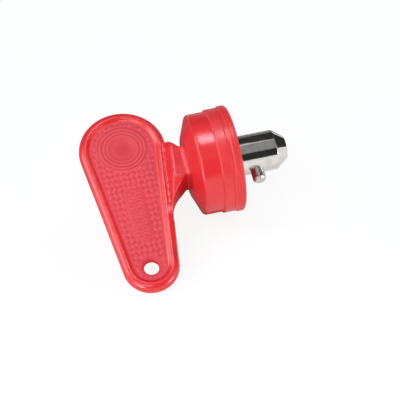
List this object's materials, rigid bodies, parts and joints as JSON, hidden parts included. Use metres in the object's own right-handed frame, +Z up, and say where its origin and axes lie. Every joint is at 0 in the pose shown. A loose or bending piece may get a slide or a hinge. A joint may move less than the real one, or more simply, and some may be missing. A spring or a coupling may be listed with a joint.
{
  "type": "removable key for a battery isolator switch",
  "caption": "Flat teardrop lever bow on a short neck, a round splash cap with a soft sealing ring, and a plated shaft with one cross pin.",
  "frame": {"origin": "centre of the cap's mouth, on the axis of the shaft, in the plane of the sealing ring's rim", "axes": "+X along the shaft towards its nose, +Z up with the key lying on its side on the cap's lip and the bow's narrow end, +Y level, across the shaft towards the broad end of the bow"},
  "size_m": [0.0457, 0.0425, 0.024],
  "materials": {
    "handle_plastic": "semi-gloss moulded plastic, fine pebbled panels inside a smooth rim",
    "seal_rubber": "satin soft rubber",
    "plated_shaft": "bright nickel plate",
    "pin_steel": "ground steel"
  },
  "bodies": {
    "root": {"handle": "handle_plastic", "sealing_ring": "seal_rubber", "shaft": "plated_shaft", "cross_pin": "pin_steel"}
  },
  "joints": []
}
